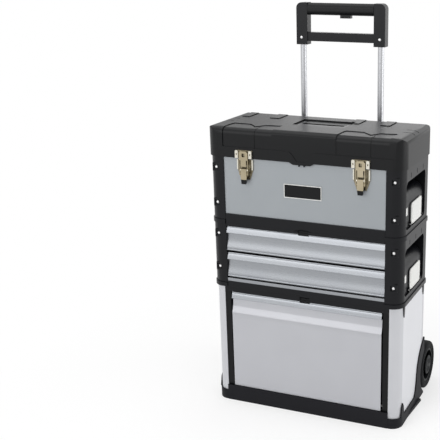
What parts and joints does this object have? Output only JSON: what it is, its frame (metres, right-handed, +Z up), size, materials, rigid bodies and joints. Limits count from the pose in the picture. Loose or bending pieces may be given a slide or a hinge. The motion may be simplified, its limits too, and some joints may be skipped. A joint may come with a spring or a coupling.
{
  "type": "trolley tool box with drawers",
  "caption": "Wheeled stacking tool box: lidded top box, chest with sliding drawers and tilt-out bin base, with a telescopic pull handle.",
  "frame": {"origin": "middle of the base's flat underside", "axes": "+Z up, +X to the right seen from the front, the front faces -Y"},
  "size_m": [0.5152, 0.3315, 1.008],
  "materials": {
    "black_plastic": "fine textured",
    "lid_plastic": "leather grained",
    "dark_plastic": "smooth",
    "tray_plastic": "satin",
    "panel_steel": "satin silver paint",
    "door_steel": "satin silver paint",
    "side_steel": "satin silver paint",
    "post_steel": "satin silver paint",
    "drawer_aluminium": "brushed",
    "runner_steel": "galvanised",
    "tube_aluminium": "satin anodised",
    "plated_steel": "polished",
    "nickel_plate": "nickel plated",
    "rivet_aluminium": "bright",
    "tyre_rubber": "matte",
    "hub_plastic": "satin",
    "grip_rubber": "soft matte"
  },
  "bodies": {
    "base": {"base_moulding": "black_plastic", "lower_posts": "post_steel", "lower_side_panels": "side_steel", "lower_back_panel": "panel_steel", "lower_top_frame": "black_plastic", "door_surround": "dark_plastic", "wheel_housings": "black_plastic", "axle": "plated_steel", "outer_tubes": "tube_aluminium", "tube_brackets": "black_plastic", "bin_pivot_pins": "plated_steel"},
    "bin": {"bin_front": "door_steel", "bin_tray": "tray_plastic"},
    "lower_catch_slider": {"lower_catch": "dark_plastic"},
    "left_wheel": {"left_tyre": "tyre_rubber", "left_wheel_hub": "hub_plastic", "left_hub_cap": "hub_plastic"},
    "right_wheel": {"right_tyre": "tyre_rubber", "right_wheel_hub": "hub_plastic", "right_hub_cap": "hub_plastic"},
    "trolley_handle": {"inner_tubes": "tube_aluminium", "handle_frame": "black_plastic", "handle_grip": "grip_rubber", "handle_rivets": "rivet_aluminium"},
    "release_button": {"handle_button": "dark_plastic"},
    "middle_chest": {"middle_left_frame": "black_plastic", "middle_right_frame": "black_plastic", "middle_floor": "black_plastic", "middle_top_rail": "black_plastic", "middle_back_panel": "panel_steel", "trim_strip": "drawer_aluminium", "drawer_runners": "runner_steel", "middle_rivets": "rivet_aluminium", "middle_clasp_pins": "plated_steel"},
    "upper_drawer": {"upper_drawer_front": "drawer_aluminium", "upper_drawer_tray": "runner_steel"},
    "lower_drawer": {"lower_drawer_front": "drawer_aluminium", "lower_drawer_tray": "runner_steel"},
    "upper_catch_slider": {"upper_catch": "dark_plastic"},
    "middle_left_clasp_plate": {"middle_left_clasp": "plated_steel"},
    "middle_right_clasp_plate": {"middle_right_clasp": "plated_steel"},
    "top_box": {"top_left_frame": "black_plastic", "top_right_frame": "black_plastic", "top_floor": "black_plastic", "top_front_panel": "panel_steel", "top_back_panel": "panel_steel", "top_rivets": "rivet_aluminium", "top_pivot_pins": "plated_steel", "draw_latch_bases": "nickel_plate", "label_plate": "dark_plastic"},
    "top_left_clasp_plate": {"top_left_clasp": "plated_steel"},
    "top_right_clasp_plate": {"top_right_clasp": "plated_steel"},
    "left_lever": {"left_draw_lever": "nickel_plate"},
    "right_lever": {"right_draw_lever": "nickel_plate"},
    "left_claw": {"left_draw_claw": "nickel_plate"},
    "right_claw": {"right_draw_claw": "nickel_plate"},
    "lid_body": {"lid": "lid_plastic", "lid_keepers": "nickel_plate"},
    "carry_handle": {"lid_handle": "dark_plastic"}
  },
  "joints": [
    {"name": "bin_tilt", "type": "hinge", "parent": "base", "child": "bin", "pos_m": [0, -0.092, 0.052], "axis": [1, 0, 0], "range_deg": [0, 38]},
    {"name": "lower_catch_lift", "type": "slide", "parent": "base", "child": "lower_catch_slider", "axis": [0, 0, 1], "range_m": [0, 0.003], "stiffness_N_per_m": 150, "springref_m": -0.002},
    {"name": "left_wheel_spin", "type": "hinge", "parent": "base", "child": "left_wheel", "pos_m": [-0.237, 0.1495, 0.0645], "axis": [1, 0, 0], "continuous": true},
    {"name": "right_wheel_spin", "type": "hinge", "parent": "base", "child": "right_wheel", "pos_m": [0.237, 0.1495, 0.0645], "axis": [1, 0, 0], "continuous": true},
    {"name": "handle_telescope", "type": "slide", "parent": "base", "child": "trolley_handle", "axis": [0, 0, 1], "range_m": [-0.36, 0]},
    {"name": "release_button_press", "type": "slide", "parent": "trolley_handle", "child": "release_button", "axis": [0, 0, 1], "range_m": [0, 0.004], "stiffness_N_per_m": 400, "springref_m": -0.002},
    {"name": "middle_chest_lift_off", "type": "slide", "parent": "base", "child": "middle_chest", "axis": [0, 0, 1], "range_m": [0, 0.06]},
    {"name": "upper_drawer_slide", "type": "slide", "parent": "middle_chest", "child": "upper_drawer", "axis": [0, -1, 0], "range_m": [0, 0.15]},
    {"name": "lower_drawer_slide", "type": "slide", "parent": "middle_chest", "child": "lower_drawer", "axis": [0, -1, 0], "range_m": [0, 0.15]},
    {"name": "upper_catch_lift", "type": "slide", "parent": "middle_chest", "child": "upper_catch_slider", "axis": [0, 0, 1], "range_m": [0, 0.003], "stiffness_N_per_m": 150, "springref_m": -0.002},
    {"name": "middle_left_clasp_turn", "type": "hinge", "parent": "middle_chest", "child": "middle_left_clasp_plate", "pos_m": [-0.248, 0, 0.346], "axis": [0, -1, 0], "range_deg": [0, 100]},
    {"name": "middle_right_clasp_turn", "type": "hinge", "parent": "middle_chest", "child": "middle_right_clasp_plate", "pos_m": [0.248, 0, 0.346], "axis": [0, 1, 0], "range_deg": [0, 100]},
    {"name": "top_box_lift_off", "type": "slide", "parent": "middle_chest", "child": "top_box", "axis": [0, 0, 1], "range_m": [0, 0.06]},
    {"name": "top_left_clasp_turn", "type": "hinge", "parent": "top_box", "child": "top_left_clasp_plate", "pos_m": [-0.248, 0, 0.512], "axis": [0, -1, 0], "range_deg": [0, 100]},
    {"name": "top_right_clasp_turn", "type": "hinge", "parent": "top_box", "child": "top_right_clasp_plate", "pos_m": [0.248, 0, 0.512], "axis": [0, 1, 0], "range_deg": [0, 100]},
    {"name": "left_lever_turn", "type": "hinge", "parent": "top_box", "child": "left_lever", "pos_m": [-0.149, -0.1125, 0.6257], "axis": [-1, 0, 0], "range_deg": [0, 100]},
    {"name": "right_lever_turn", "type": "hinge", "parent": "top_box", "child": "right_lever", "pos_m": [0.149, -0.1125, 0.6257], "axis": [-1, 0, 0], "range_deg": [0, 100]},
    {"name": "left_claw_turn", "type": "hinge", "parent": "left_lever", "child": "left_claw", "pos_m": [-0.149, -0.1147, 0.6167], "axis": [-1, 0, 0], "range_deg": [-100, 0]},
    {"name": "right_claw_turn", "type": "hinge", "parent": "right_lever", "child": "right_claw", "pos_m": [0.149, -0.1147, 0.6167], "axis": [-1, 0, 0], "range_deg": [-100, 0]},
    {"name": "lid_hinge", "type": "hinge", "parent": "top_box", "child": "lid_body", "pos_m": [0, 0.1125, 0.651], "axis": [-1, 0, 0], "range_deg": [0, 32]},
    {"name": "carry_handle_turn", "type": "hinge", "parent": "lid_body", "child": "carry_handle", "pos_m": [0.0065, 0.043, 0.719], "axis": [-1, 0, 0], "range_deg": [0, 90]}
  ],
  "couplings": [
    {"joint": "left_claw_turn", "follows": "left_lever_turn", "ratio": -1},
    {"joint": "right_claw_turn", "follows": "right_lever_turn", "ratio": -1}
  ]
}
